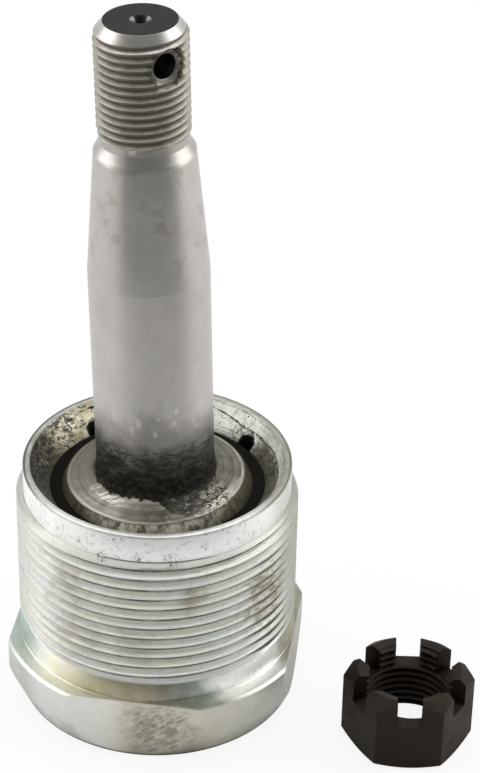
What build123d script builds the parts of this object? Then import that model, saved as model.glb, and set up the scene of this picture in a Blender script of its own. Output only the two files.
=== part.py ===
from build123d import *
import math
import os

# Screw-in suspension ball joint, rebuildable type, with its loose slotted nut.
# Millimetres. +Z runs up the stud, z = 0 is the plane the housing stands on,
# and the housing's own axis is the Z axis.

INCH = 25.4

# ---- ball stud ----
BALL_DIA = 1.5 * INCH
BALL_TOP_CUT = 8.65                   # turned off the top of the ball
BALL_BASE_CUT = 2.05                  # turned off its underside
LAND_WIDTH = 0.65                     # bright ring round the cut top
LAND_EDGE_BREAK = 0.3
CONE_RISE = 1.65                      # turned cone from that ring up to the shank
ROOT_FILLET = 1.2
SHANK_DIA = 21.1
SHANK_LENGTH = 52.9                   # from the ball's centre to the taper
TAPER_LENGTH = 22.8
TAPER_RATE = 6.0                      # length for each unit of diameter, 2 in per foot
SHOULDER_LENGTH = 1.8                 # cone between the taper and the thread's run-out
STUD_THREAD_DIA = 0.625 * INCH        # 5/8-18 UNF, major diameter
STUD_THREAD_DEPTH = 0.6875
STUD_THREAD_LENGTH = 20.0
STUD_RUN_OUT_DEPTH = 0.34
STUD_RUN_OUT_LENGTH = 1.4
STUD_POINT_STEP = 1.64                # chamfered end: radial step and length
STUD_POINT_LENGTH = 2.0
CENTRE_DRILL_DIA = 3.4
COTTER_HOLE_DIA = 4.4
COTTER_SINK_WIDTH = 1.4               # countersink round the hole's edge
COTTER_HOLE_DROP = 5.9                # below the stud's end
COTTER_HOLE_TURN = -55.0              # degrees from the +X axis
STUD_LEAN = 1.6                       # degrees, the free stud rests leaning towards -X

# ---- races ----
BALL_CLEARANCE = 0.1                  # radial, ball in its seats
RACE_WALL = 2.45                      # at the ball's equator
RACE_FLOOR = 2.45                     # under the ball
RACE_CLEARANCE = 0.08                 # radial, lower race in the bore
RACE_SPLIT = 1.0                      # adjusting gap between the races
RACE_COLLAR_WALL = 2.0                # upper race where it fills the throat
RACE_COLLAR_CLEARANCE = 0.1
RACE_TOP_RECESS = 0.1                 # upper race below the throat's edge
RACE_EDGE_BREAK = 0.5
GREASE_WAY_DIA = 6.0

# ---- housing: mouth ----
THROAT_RISE = 8.5                     # throat's upper edge above the ball's centre
THROAT_DROP = 4.8                     # throat's upper edge below the rim
LIP_THICKNESS = 2.0
MOUTH_CORNER_DROP = 2.3               # below the rim
MOUTH_CORNER_STEP = 1.2               # radial draw-in down to that corner
RIM_WALL = 1.2
RIM_EDGE_BREAK = 0.3
NOTCH_DIA = 3.2
NOTCH_COUNT = 4
NOTCH_OFFSET = 0.4                    # notch centre outside the throat

# ---- housing: outside ----
HOUSING_WALL = 3.8                    # bore to thread crest, which makes it 2.000-12 UN
COLLAR_STEP = 1.3                     # plain turned band above the thread
COLLAR_LENGTH = 5.3
THREAD_END_CHAMFER = 1.0
RUN_OUT_DEPTH = 1.0                   # relief below the last thread
RUN_OUT_LENGTH = 3.4
NECK_STEP = 0.05                      # land that centres the arm's boss
NECK_RISE = 1.0
SEAT_WIDTH = 2.85                     # ring of the flange that the arm seats on
FLANGE_THICKNESS = 12.5
FLANGE_EDGE_CHAMFER = 0.45
FLANGE_SKIRT = 6.8                    # height where the turned side starts tapering in
BASE_INSET = 2.8
BASE_EDGE_BREAK = 0.4
FLAT_DEPTH = 2.7                      # four wrench flats milled into the flange
FLAT_COUNT = 4
FLAT_TURN = -10.0                     # degrees, first flat from the +X axis

# ---- preload stack and end cap ----
CAP_RECESS = 1.5                      # cap face above the base plane
CAP_THICKNESS = 7.0
CAP_THREAD_STEP = 1.4                 # cap thread outside the bore
CAP_THREAD_LENGTH = 4.3
CAP_SPIGOT_CLEARANCE = 0.1
SPANNER_HOLE_COUNT = 2
SPANNER_HOLE_DIA = 5.0
SPANNER_HOLE_DEPTH = 4.0
SPANNER_HOLE_RADIUS = 14.0
O_RING_SECTION = 1.7
O_RING_GROOVE_WIDTH = 2.0
WASHER_CLEARANCE = 0.6                # radial, in the bore
WASHER_BORE_DIA = 18.0
WASHER_THICKNESS = 1.0
DISC_SPRING_INSET = 2.0               # spring edge inside the washer's edge
DISC_SPRING_BORE_DIA = 20.0
DISC_SPRING_THICKNESS = 1.0
DISC_SPRING_CONE = 0.6
LOCK_SCREW_COUNT = 2
LOCK_SCREW_DIA = 4.0
LOCK_SCREW_TIP_GAP = 0.5
LOCK_SCREW_SOCKET = 2.0
LOCK_SCREW_SOCKET_DEPTH = 1.9
LOCK_SCREW_TURN = 35.0                # degrees from the +X axis
PLUG_DIA = 6.35
PLUG_LENGTH = 5.5
PLUG_SOCKET = 3.2
PLUG_SOCKET_DEPTH = 3.0

# ---- slotted nut ----
NUT_FLATS = 0.8125 * INCH
NUT_HEIGHT = 14.6
NUT_SINK_STEP = 0.95                  # countersinks of the threaded hole
NUT_SLOT_COUNT = 3                    # slots from side to side, so six openings
NUT_SLOT_CLEARANCE = 0.1              # slot wider than the cotter hole
NUT_SLOT_DEPTH = 5.15
NUT_CROWN_STEP = 0.92                 # crown inside the flats
NUT_CROWN_CHAMFER = 2.0
NUT_CROWN_EDGE = 0.2                  # ridge left between chamfer and countersink
NUT_BASE_STEP = 0.5
NUT_BASE_CHAMFER = 1.0
NUT_STAND_OFF = 20.83                 # nut's centre outside the flange
NUT_BEARING = -22.45                  # degrees from the +X axis
NUT_TURN = -3.3

# ---- diameters and heights that follow from those ----
seat_dia = BALL_DIA + 2 * BALL_CLEARANCE
bore_dia = seat_dia + 2 * RACE_WALL
body_thread_dia = bore_dia + 2 * HOUSING_WALL
collar_dia = body_thread_dia - 2 * COLLAR_STEP
run_out_dia = body_thread_dia - 2 * RUN_OUT_DEPTH
neck_dia = body_thread_dia + 2 * NECK_STEP
flange_dia = neck_dia + 2 * SEAT_WIDTH
base_dia = flange_dia - 2 * BASE_INSET
wrench_flats = flange_dia - 2 * FLAT_DEPTH
mouth_dia = collar_dia - 2 * RIM_WALL
mouth_corner_dia = mouth_dia - 2 * MOUTH_CORNER_STEP
cap_thread_dia = bore_dia + 2 * CAP_THREAD_STEP
washer_dia = bore_dia - 2 * WASHER_CLEARANCE
disc_spring_dia = washer_dia - 2 * DISC_SPRING_INSET

cap_top = CAP_RECESS + CAP_THICKNESS
cap_thread_top = CAP_RECESS + CAP_THREAD_LENGTH
spring_height = DISC_SPRING_THICKNESS + DISC_SPRING_CONE
washer_low = cap_top + 2 * spring_height
race_low = washer_low + WASHER_THICKNESS
ball_centre = race_low + RACE_FLOOR + seat_dia / 2
throat_edge = ball_centre + THROAT_RISE
lip_under = throat_edge - LIP_THICKNESS
housing_height = throat_edge + THROAT_DROP
thread_low = FLANGE_THICKNESS + NECK_RISE + RUN_OUT_LENGTH
thread_high = housing_height - COLLAR_LENGTH

shank_top = ball_centre + SHANK_LENGTH
taper_top = shank_top + TAPER_LENGTH
stud_run_out_low = taper_top + SHOULDER_LENGTH
stud_thread_low = stud_run_out_low + STUD_RUN_OUT_LENGTH
stud_top = stud_thread_low + STUD_THREAD_LENGTH
taper_small_dia = SHANK_DIA - TAPER_LENGTH / TAPER_RATE
stud_run_out_dia = STUD_THREAD_DIA - 2 * STUD_RUN_OUT_DEPTH
stud_point_dia = STUD_THREAD_DIA - 2 * STUD_POINT_STEP

# The ball shows through a round opening in the upper race, and the throat is
# one race wall wider than that opening.
race_top = throat_edge - RACE_TOP_RECESS
race_opening_radius = math.sqrt((seat_dia / 2) ** 2 - (race_top - ball_centre) ** 2)
race_collar_dia = 2 * (race_opening_radius + RACE_COLLAR_WALL)
throat_dia = race_collar_dia + 2 * RACE_COLLAR_CLEARANCE
notch_radius = throat_dia / 2 + NOTCH_OFFSET


def turned(*corners):
    """Solid turned about Z from a closed half section of (radius, height) corners."""
    section = make_face(Plane.XZ * Polyline(*corners, close=True))
    return revolve(section, Axis.Z)


def cylinder(diameter, low, high):
    """Upright cylinder on the Z axis between two heights."""
    return Pos(0, 0, low) * Cylinder(
        diameter / 2, high - low, align=(Align.CENTER, Align.CENTER, Align.MIN)
    )


def around(count, start=0.0):
    """Turns about Z that space a feature evenly."""
    return [Rot(0, 0, start + 360.0 / count * step) for step in range(count)]


def hex_bar(across_flats, low, high):
    """Upright hexagonal prism with two flats facing +Y and -Y."""
    corner_radius = across_flats / math.sqrt(3)
    return Pos(0, 0, low) * extrude(RegularPolygon(corner_radius, 6), high - low)


def make_housing():
    """Turned steel body: wrench flange, thread, collar, and a mouth with a retaining lip."""
    outside = turned(
        (0, 0),
        (base_dia / 2 - BASE_EDGE_BREAK, 0),
        (base_dia / 2, BASE_EDGE_BREAK),
        (flange_dia / 2, FLANGE_SKIRT),
        (flange_dia / 2, FLANGE_THICKNESS - FLANGE_EDGE_CHAMFER),
        (flange_dia / 2 - FLANGE_EDGE_CHAMFER, FLANGE_THICKNESS),
        (neck_dia / 2, FLANGE_THICKNESS),
        (neck_dia / 2, FLANGE_THICKNESS + NECK_RISE),
        (run_out_dia / 2, thread_low - RUN_OUT_DEPTH),
        (body_thread_dia / 2, thread_low),
        (body_thread_dia / 2, thread_high - THREAD_END_CHAMFER),
        (collar_dia / 2, thread_high),
        (collar_dia / 2, housing_height - RIM_EDGE_BREAK),
        (collar_dia / 2 - RIM_EDGE_BREAK, housing_height),
        (0, housing_height),
    )
    for turn in around(FLAT_COUNT, FLAT_TURN):
        outside -= turn * Pos(wrench_flats / 2, 0, 0) * Box(
            2 * FLAT_DEPTH,
            flange_dia,
            2 * FLANGE_THICKNESS,
            align=(Align.MIN, Align.CENTER, Align.CENTER),
        )
    mouth = turned(
        (0, housing_height),
        (mouth_dia / 2, housing_height),
        (mouth_corner_dia / 2, housing_height - MOUTH_CORNER_DROP),
        (throat_dia / 2, throat_edge),
        (throat_dia / 2, lip_under),
        (0, lip_under),
    )
    body = outside - mouth - cylinder(bore_dia, cap_thread_top, lip_under)
    body -= cylinder(cap_thread_dia, 0, cap_thread_top)
    for turn in around(NOTCH_COUNT, FLAT_TURN + 180.0 / FLAT_COUNT):
        notch = cylinder(NOTCH_DIA, lip_under, housing_height)
        body -= turn * Pos(notch_radius, 0, 0) * notch
    for hole in lock_screw_holes():
        body -= hole
    return body


def make_ball_stud():
    """One forged and ground piece: ball, shank, taper, threaded end and cotter hole.

    It is built upright and then leaned about the ball's centre.
    """
    land_top = ball_centre + BALL_DIA / 2 - BALL_TOP_CUT
    land_radius = math.sqrt((BALL_DIA / 2) ** 2 - (land_top - ball_centre) ** 2)
    cone_top = land_top + CONE_RISE
    ball = Pos(0, 0, ball_centre) * Sphere(BALL_DIA / 2)
    ball &= cylinder(BALL_DIA, ball_centre - BALL_DIA / 2 + BALL_BASE_CUT, land_top)
    ball = chamfer(ball.faces().sort_by(Axis.Z)[-1].edges(), LAND_EDGE_BREAK)
    cone = turned(
        (0, ball_centre),
        (land_radius - LAND_WIDTH, ball_centre),
        (land_radius - LAND_WIDTH, land_top),
        (SHANK_DIA / 2, cone_top),
        (0, cone_top),
    )
    stem = turned(
        (0, ball_centre),
        (SHANK_DIA / 2, ball_centre),
        (SHANK_DIA / 2, shank_top),
        (taper_small_dia / 2, taper_top),
        (stud_run_out_dia / 2, stud_run_out_low),
        (stud_run_out_dia / 2, stud_thread_low),
        (STUD_THREAD_DIA / 2, stud_thread_low),
        (STUD_THREAD_DIA / 2, stud_top - STUD_POINT_LENGTH),
        (stud_point_dia / 2, stud_top),
        (0, stud_top),
    )
    stud = ball + cone + stem
    root = stud.edges().filter_by(GeomType.CIRCLE).filter_by(
        lambda edge: abs(edge.radius - SHANK_DIA / 2) < 0.01
        and abs(edge.center().Z - cone_top) < 0.01
    )
    stud = fillet(root, ROOT_FILLET)
    drill_depth = CENTRE_DRILL_DIA / 2 * math.sqrt(3)
    stud -= turned((0, stud_top), (CENTRE_DRILL_DIA / 2, stud_top), (0, stud_top - drill_depth))
    stud -= cotter_hole()
    return Pos(0, 0, ball_centre) * Rot(0, -STUD_LEAN, 0) * Pos(0, 0, -ball_centre) * stud


def cotter_hole():
    """Cross hole through the threaded end, countersunk on both sides."""
    through = Cylinder(COTTER_HOLE_DIA / 2, 2 * STUD_THREAD_DIA, rotation=(0, 90, 0))
    cone = Cone(
        COTTER_HOLE_DIA / 2,
        COTTER_HOLE_DIA / 2 + COTTER_SINK_WIDTH + STUD_THREAD_DIA,
        COTTER_SINK_WIDTH + STUD_THREAD_DIA,
        align=(Align.CENTER, Align.CENTER, Align.MIN),
    )
    depth = STUD_THREAD_DIA / 2 - COTTER_SINK_WIDTH
    hole = through + Rot(0, 90, 0) * Pos(0, 0, depth) * cone
    hole += Rot(0, -90, 0) * Pos(0, 0, depth) * cone
    return Pos(0, 0, stud_top - COTTER_HOLE_DROP) * Rot(0, 0, COTTER_HOLE_TURN) * hole


def make_upper_race():
    """Low-friction ring above the ball's equator, with a collar that fills the throat."""
    low = ball_centre + RACE_SPLIT / 2
    race = turned(
        (0, low),
        (bore_dia / 2, low),
        (bore_dia / 2, lip_under - RACE_EDGE_BREAK),
        (bore_dia / 2 - RACE_EDGE_BREAK, lip_under),
        (race_collar_dia / 2, lip_under),
        (race_collar_dia / 2, race_top),
        (0, race_top),
    )
    return race - Pos(0, 0, ball_centre) * Sphere(seat_dia / 2)


def make_lower_race():
    """Low-friction cup under the ball, with a grease way through its floor."""
    outer_dia = bore_dia - 2 * RACE_CLEARANCE
    high = ball_centre - RACE_SPLIT / 2
    race = turned(
        (GREASE_WAY_DIA / 2, race_low),
        (outer_dia / 2 - RACE_EDGE_BREAK, race_low),
        (outer_dia / 2, race_low + RACE_EDGE_BREAK),
        (outer_dia / 2, high),
        (GREASE_WAY_DIA / 2, high),
    )
    return race - Pos(0, 0, ball_centre) * Sphere(seat_dia / 2)


def make_thrust_washer():
    """Hard washer that spreads the spring load on the lower race."""
    return cylinder(washer_dia, washer_low, race_low) - cylinder(
        WASHER_BORE_DIA, washer_low, race_low
    )


def make_disc_spring(outer_edge, inner_edge):
    """Coned disc spring, given the heights of its outer and inner lower edges."""
    outer = disc_spring_dia / 2
    inner = DISC_SPRING_BORE_DIA / 2
    return turned(
        (inner, inner_edge),
        (outer, outer_edge),
        (outer, outer_edge + DISC_SPRING_THICKNESS),
        (inner, inner_edge + DISC_SPRING_THICKNESS),
    )


def lock_screw_holes():
    """Upright tapped holes that straddle the joint between end cap and housing."""
    hole = cylinder(LOCK_SCREW_DIA, 0, cap_thread_top)
    return [
        turn * Pos(cap_thread_dia / 2, 0, 0) * hole
        for turn in around(LOCK_SCREW_COUNT, LOCK_SCREW_TURN)
    ]


def make_end_cap():
    """Threaded cap that sets the preload, with spanner holes and a tapped grease port."""
    spigot_dia = bore_dia - 2 * CAP_SPIGOT_CLEARANCE
    cap = cylinder(cap_thread_dia, CAP_RECESS, cap_thread_top)
    cap += cylinder(spigot_dia, cap_thread_top, cap_top)
    groove_middle = (cap_thread_top + cap_top) / 2
    groove_low = groove_middle - O_RING_GROOVE_WIDTH / 2
    groove_high = groove_middle + O_RING_GROOVE_WIDTH / 2
    cap -= cylinder(bore_dia, groove_low, groove_high) - cylinder(
        bore_dia - 2 * O_RING_SECTION, groove_low, groove_high
    )
    cap -= cylinder(PLUG_DIA, CAP_RECESS, cap_top)
    spanner_turn = LOCK_SCREW_TURN + 180.0 / SPANNER_HOLE_COUNT
    for turn in around(SPANNER_HOLE_COUNT, spanner_turn):
        hole = cylinder(SPANNER_HOLE_DIA, CAP_RECESS, CAP_RECESS + SPANNER_HOLE_DEPTH)
        cap -= turn * Pos(SPANNER_HOLE_RADIUS, 0, 0) * hole
    for hole in lock_screw_holes():
        cap -= hole
    return cap


def make_cap_o_ring():
    """Rubber ring that seals the cap's spigot in the bore."""
    middle = bore_dia / 2 - O_RING_SECTION / 2
    return Pos(0, 0, (cap_thread_top + cap_top) / 2) * Torus(middle, O_RING_SECTION / 2)


def socket_screw(diameter, length, socket, socket_depth):
    """Headless screw or plug, flush with the cap, with a hexagon socket below."""
    screw = cylinder(diameter, CAP_RECESS, CAP_RECESS + length)
    return screw - hex_bar(socket, CAP_RECESS, CAP_RECESS + socket_depth)


def make_lock_screws():
    """Set screws half in the cap and half in the housing, so neither can turn."""
    screw = socket_screw(
        LOCK_SCREW_DIA,
        CAP_THREAD_LENGTH - LOCK_SCREW_TIP_GAP,
        LOCK_SCREW_SOCKET,
        LOCK_SCREW_SOCKET_DEPTH,
    )
    return [
        turn * Pos(cap_thread_dia / 2, 0, 0) * screw
        for turn in around(LOCK_SCREW_COUNT, LOCK_SCREW_TURN)
    ]


def make_grease_plug():
    """Flush plug in the grease port."""
    return socket_screw(PLUG_DIA, PLUG_LENGTH, PLUG_SOCKET, PLUG_SOCKET_DEPTH)


def make_castle_nut():
    """Slotted hexagon nut for the stud, standing by itself on the floor."""
    corner_radius = NUT_FLATS / math.sqrt(3)
    crown_radius = NUT_FLATS / 2 - NUT_CROWN_STEP
    minor_radius = STUD_THREAD_DIA / 2 - STUD_THREAD_DEPTH
    blank = hex_bar(NUT_FLATS, 0, NUT_HEIGHT)
    blank &= turned(
        (0, 0),
        (NUT_FLATS / 2 - NUT_BASE_STEP, 0),
        (corner_radius, NUT_BASE_CHAMFER),
        (corner_radius, NUT_HEIGHT - NUT_CROWN_CHAMFER),
        (crown_radius, NUT_HEIGHT),
        (0, NUT_HEIGHT),
    )
    blank -= turned(
        (0, 0),
        (minor_radius + NUT_SINK_STEP, 0),
        (minor_radius, NUT_SINK_STEP),
        (minor_radius, NUT_HEIGHT - NUT_SINK_STEP),
        (crown_radius - NUT_CROWN_EDGE, NUT_HEIGHT),
        (0, NUT_HEIGHT),
    )
    slot = Box(COTTER_HOLE_DIA + NUT_SLOT_CLEARANCE, 2 * NUT_FLATS, 2 * NUT_SLOT_DEPTH)
    for turn in around(2 * NUT_SLOT_COUNT)[:NUT_SLOT_COUNT]:
        blank -= Pos(0, 0, NUT_HEIGHT) * turn * slot
    reach = flange_dia / 2 + NUT_STAND_OFF
    return Rot(0, 0, NUT_BEARING) * Pos(reach, 0, 0) * Rot(0, 0, NUT_TURN - NUT_BEARING) * blank


PIECES = {
    "housing": make_housing(),
    "ball_stud": make_ball_stud(),
    "upper_race": make_upper_race(),
    "lower_race": make_lower_race(),
    "thrust_washer": make_thrust_washer(),
    "disc_spring_lower": make_disc_spring(cap_top, cap_top + DISC_SPRING_CONE),
    "disc_spring_upper": make_disc_spring(
        cap_top + spring_height + DISC_SPRING_CONE, cap_top + spring_height
    ),
    "end_cap": make_end_cap(),
    "cap_o_ring": make_cap_o_ring(),
    "cap_lock_screws": make_lock_screws(),
    "grease_plug": make_grease_plug(),
    "castle_nut": make_castle_nut(),
}

os.makedirs("parts", exist_ok=True)
for name, piece in PIECES.items():
    solids = piece if isinstance(piece, list) else piece.solids()
    export_step(Compound(children=list(solids)), f"parts/{name}.step")
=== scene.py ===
# %% [markdown]
# # A screw-in ball joint and its slotted nut
#
# A rebuildable ball joint for a car's suspension: a ground steel ball stud that swivels in two polymer
# races, inside a zinc-plated housing that screws into the control arm. The castle nut stands beside it.
# The CAD model is the fixed frame here. It gives every piece its place and size, and this script gives
# the pieces their threads, their finish and their wear.

# %% Load the frame
import math

import bmesh
import bpy
from mathutils import Matrix, Vector


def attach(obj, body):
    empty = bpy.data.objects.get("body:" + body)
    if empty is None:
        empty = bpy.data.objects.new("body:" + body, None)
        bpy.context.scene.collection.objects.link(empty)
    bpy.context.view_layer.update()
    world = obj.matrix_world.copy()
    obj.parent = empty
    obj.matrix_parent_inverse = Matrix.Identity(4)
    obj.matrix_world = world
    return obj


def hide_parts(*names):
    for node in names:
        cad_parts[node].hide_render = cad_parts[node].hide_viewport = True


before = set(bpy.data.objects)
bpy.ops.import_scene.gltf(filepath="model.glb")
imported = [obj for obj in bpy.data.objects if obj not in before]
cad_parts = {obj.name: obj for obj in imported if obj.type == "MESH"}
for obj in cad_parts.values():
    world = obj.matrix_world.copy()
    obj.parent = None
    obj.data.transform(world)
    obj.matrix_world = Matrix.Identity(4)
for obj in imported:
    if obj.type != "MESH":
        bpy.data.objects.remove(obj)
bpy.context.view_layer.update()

MM = 0.001

# %% [markdown]
# ## The camera
#
# The joint stands on a table, seen from a little above, so that the ball shows inside the mouth. A long
# lens keeps the tall stud from leaning outwards. The camera could be aimed with a constraint, but a
# matrix built from three angles keeps its small roll exact.

# %% Camera
PLACE = Vector((0.7153, -389.565, 310.802)) * MM
YAW, DOWN, ROLL = (math.radians(a) for a in (2.0258, 32.4513, 1.1323))
LENS, SENSOR = 122.36, 36


def link(name, data):
    """A new object in the scene."""
    made = bpy.data.objects.new(name, data)
    bpy.context.scene.collection.objects.link(made)
    return made


def camera_matrix(place, yaw, down, roll):
    """Columns are the camera's right, up and backward directions, then its place."""
    forward = Vector((math.sin(yaw) * math.cos(down), math.cos(yaw) * math.cos(down), -math.sin(down)))
    level = Vector((math.cos(yaw), -math.sin(yaw), 0))
    upright = level.cross(forward)
    right = level * math.cos(roll) + upright * math.sin(roll)
    up = upright * math.cos(roll) - level * math.sin(roll)
    turned = Matrix((right, up, -forward)).transposed().to_4x4()
    return Matrix.Translation(place) @ turned


camera = link("camera", bpy.data.cameras.new("camera"))
camera.matrix_world = camera_matrix(PLACE, YAW, DOWN, ROLL)
camera.data.lens, camera.data.sensor_width, camera.data.clip_start = LENS, SENSOR, 0.01
bpy.context.scene.camera = camera
print("camera lens", LENS, "mm")

# %% [markdown]
# ## Formulas that become nodes
#
# Shader trees and Geometry Nodes trees are wired in the same way, so one set of helpers serves both. An
# output is held as a Num, which can be added, multiplied or compared like a number, and each operation
# places a Math node. That keeps a mask or a thread's rule as readable as its formula.

# %% Wiring nodes
def plug(target, value):
    """Feeds an input socket from another node's output, or sets it to a constant."""
    value = getattr(value, "socket", value)
    if isinstance(value, bpy.types.NodeSocket):
        target.id_data.links.new(value, target)
    else:
        target.default_value = value


def wire(tree, kind, inputs=None, **settings):
    """A new node. inputs is {socket name or number: constant, Num or output socket}."""
    node = tree.nodes.new(kind)
    for name, value in settings.items():
        setattr(node, name, value)
    for key, value in (inputs or {}).items():
        plug(node.inputs[key], value)
    return node


def feed(tree, kind, inputs=None, **settings):
    """A new node's first output."""
    return Num(wire(tree, kind, inputs, **settings).outputs[0])


def home(*values):
    """The tree that the Nums among these values belong to."""
    return next(value.tree for value in values if isinstance(value, Num))


def calc(operation, a, b=0.0, c=0.0, clamp=False):
    """One Math node's output."""
    return feed(home(a, b, c), "ShaderNodeMath", {0: a, 1: b, 2: c}, operation=operation, use_clamp=clamp)


class Num:
    """A node's output, used like a number. a | b is the larger of the two."""

    def __init__(self, socket):
        self.socket, self.tree = socket, socket.id_data

    def __abs__(self):
        return calc("ABSOLUTE", self)


OPERATORS = {"add": "ADD", "sub": "SUBTRACT", "mul": "MULTIPLY", "truediv": "DIVIDE", "or": "MAXIMUM"}
for sign, operation in OPERATORS.items():
    setattr(Num, f"__{sign}__", lambda a, b, operation=operation: calc(operation, a, b))
    setattr(Num, f"__r{sign}__", lambda b, a, operation=operation: calc(operation, a, b))


def split(vector):
    """The x, y and z of a vector Num."""
    return [Num(part) for part in wire(vector.tree, "ShaderNodeSeparateXYZ", {0: vector}).outputs]


def rise(value, start, stop, low=0.0, high=1.0):
    """Eases from low to high as value goes from start to stop, where start is the smaller."""
    inputs = {0: value, 1: start, 2: stop, 3: low, 4: high}
    return feed(value.tree, "ShaderNodeMapRange", inputs, interpolation_type="SMOOTHSTEP")


def fall(value, start, stop):
    return rise(value, start, stop, 1.0, 0.0)


def hump(value, start, full, still, stop):
    """Eases in from start to full, and out again from still to stop."""
    return rise(value, start, full) * fall(value, still, stop)


def between(value, low, high, soft):
    """1 inside a band of heights, radii or bearings, easing to 0 over soft at both ends."""
    return hump(value, low - soft, low, high, high + soft)


def sockets(tree, inputs, outputs):
    """Names a group's sockets and returns its inputs. inputs is {name: (kind, default)}."""
    for name, (kind, default) in inputs.items():
        made = tree.interface.new_socket(name, in_out="INPUT", socket_type="NodeSocket" + kind)
        if default is not None:
            made.default_value = default
    for name, kind in outputs.items():
        tree.interface.new_socket(name, in_out="OUTPUT", socket_type="NodeSocket" + kind)
    return {s.name: Num(s) for s in tree.nodes.new("NodeGroupInput").outputs if s.name}


print("node helpers ready")

# %% [markdown]
# ## Turned shapes
#
# Nearly everything in a ball joint comes off a lathe, so its shape is one outline turned about an axis.
# Blender's Spin or Screw would do it, but writing the rings by hand keeps every vertex on the same set
# of angles, and then the cut thread can be stitched to the turned blank without a gap.

# %% Turned blank
STEPS = 128
MERGE = 0.003 * MM


def close_up(bm):
    """Merges doubles and turns the faces outwards."""
    bmesh.ops.remove_doubles(bm, verts=bm.verts, dist=MERGE)
    bmesh.ops.recalc_face_normals(bm, faces=bm.faces)


def to_mesh(bm, name):
    """Makes a closed object at the origin."""
    close_up(bm)
    mesh = bpy.data.meshes.new(name)
    bm.to_mesh(mesh)
    bm.free()
    return link(name, mesh)


def turn(bm, outline, steps=STEPS, gap=None, loop=False):
    """Turns an outline of (radius, height) in mm about Z. gap is a run left open for a thread."""
    rings = []
    for radius, height in outline:
        if radius == 0:
            rings.append([bm.verts.new((0, 0, height * MM))] * steps)
            continue
        turns = [2 * math.pi * i / steps for i in range(steps)]
        ring = [(radius * MM * math.cos(a), radius * MM * math.sin(a), height * MM) for a in turns]
        rings.append([bm.verts.new(corner) for corner in ring])
    runs = list(zip(range(len(rings)), range(1, len(rings))))
    if loop:
        runs.append((len(rings) - 1, 0))
    for low, high in runs:
        if gap == low:
            continue
        for i in range(steps):
            j = (i + 1) % steps
            corners = [rings[low][i], rings[low][j], rings[high][j], rings[high][i]]
            corners = [v for k, v in enumerate(corners) if v not in corners[:k]]
            if len(corners) > 2:
                bm.faces.new(corners)


def turned(name, outline, steps=STEPS, loop=False):
    """A turned object at the origin."""
    bm = bmesh.new()
    turn(bm, outline, steps, loop=loop)
    return to_mesh(bm, name)


def evaluated_mesh(piece):
    """The mesh that a piece's modifiers give."""
    seen = piece.evaluated_get(bpy.context.evaluated_depsgraph_get())
    return bpy.data.meshes.new_from_object(seen)


print("segments round a turned piece:", STEPS)

# %% [markdown]
# ## A cut thread
#
# The CAD solids carry plain cylinders where the threads are, because a modelled thread helps no
# simulation. A thread is a groove that follows one rule, a constant climb for each turn, so Geometry
# Nodes suit it: a flat grid is rolled up along the helix, and its rows dip to the root and rise to the
# crest. Heights are held between the two ends, where the rows gather into one clean circle.

# %% Thread tree
THREAD_ROWS = 17
CREST_SHARE, ROOT_SHARE = 1 / 8, 1 / 4   # flats of a unified thread, as shares of its pitch
RUN_OUT = 0.2 * MM
THREAD_MERGE = 0.003 * MM
thread_tree = bpy.data.node_groups.new("cut_thread", "GeometryNodeTree")
LENGTHS = ("Crest Radius", "Depth", "Pitch", "Low", "High", "Low Radius", "High Radius")
SHARES = ("Low Slope", "High Slope", "Start", "Side")
THREAD_INPUTS = {name: ("Float", 1.0) for name in LENGTHS + SHARES}
THREAD_INPUTS |= {"Steps": ("Int", STEPS), "Finish": ("Material", None)}


def build_thread_tree(tree, given):
    side, low, high, pitch = (given[name] for name in ("Side", "Low", "High", "Pitch"))
    turns = calc("CEIL", (high - low) / pitch) + 1
    count = feed(tree, "FunctionNodeFloatToInt", {0: turns * given["Steps"] + 1}, rounding_mode="ROUND")
    size = {"Size X": 1, "Size Y": 1, "Vertices X": count, "Vertices Y": THREAD_ROWS}
    grid = feed(tree, "GeometryNodeMeshGrid", size)
    x, y, _ = split(feed(tree, "GeometryNodeInputPosition"))
    along, across = (x + 0.5) * turns, y + 0.5
    free = (along + across - 1) * pitch + low
    height = calc("MINIMUM", free | low, high)
    above, below = height - low, high - height
    off_root = abs(across - 0.5) * 2
    top = 1 - CREST_SHARE
    dip = calc("DIVIDE", top - off_root, top - ROOT_SHARE, clamp=True)
    crest = given["Crest Radius"] * side
    groove = crest - given["Depth"] * dip
    # the blank's own ends, which the groove runs out through
    start = above * given["Low Slope"] + given["Low Radius"] * side
    stop = below * given["High Slope"] + given["High Radius"] * side
    blank = calc("MINIMUM", crest, calc("MINIMUM", start, stop))
    fade = calc("DIVIDE", calc("MINIMUM", above, below), RUN_OUT, clamp=True)
    radius = (blank - (blank - groove | 0) * fade) * side
    angle = (along + given["Start"]) * (2 * math.pi)
    spot = {0: radius * calc("COSINE", angle), 1: radius * calc("SINE", angle), 2: height}
    rolled = feed(tree, "ShaderNodeCombineXYZ", spot)
    placed = feed(tree, "GeometryNodeSetPosition", {"Geometry": grid, "Position": rolled})
    merged = feed(tree, "GeometryNodeMergeByDistance", {"Geometry": placed, "Distance": THREAD_MERGE})
    real = feed(tree, "GeometryNodeRealizeInstances", {"Geometry": merged})
    done = feed(tree, "GeometryNodeSetMaterial", {"Geometry": real, "Material": given["Finish"]})
    wire(tree, "NodeGroupOutput", {0: done})


build_thread_tree(thread_tree, sockets(thread_tree, THREAD_INPUTS, {"Geometry": "Geometry"}))
print("thread tree nodes:", len(thread_tree.nodes))

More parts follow.
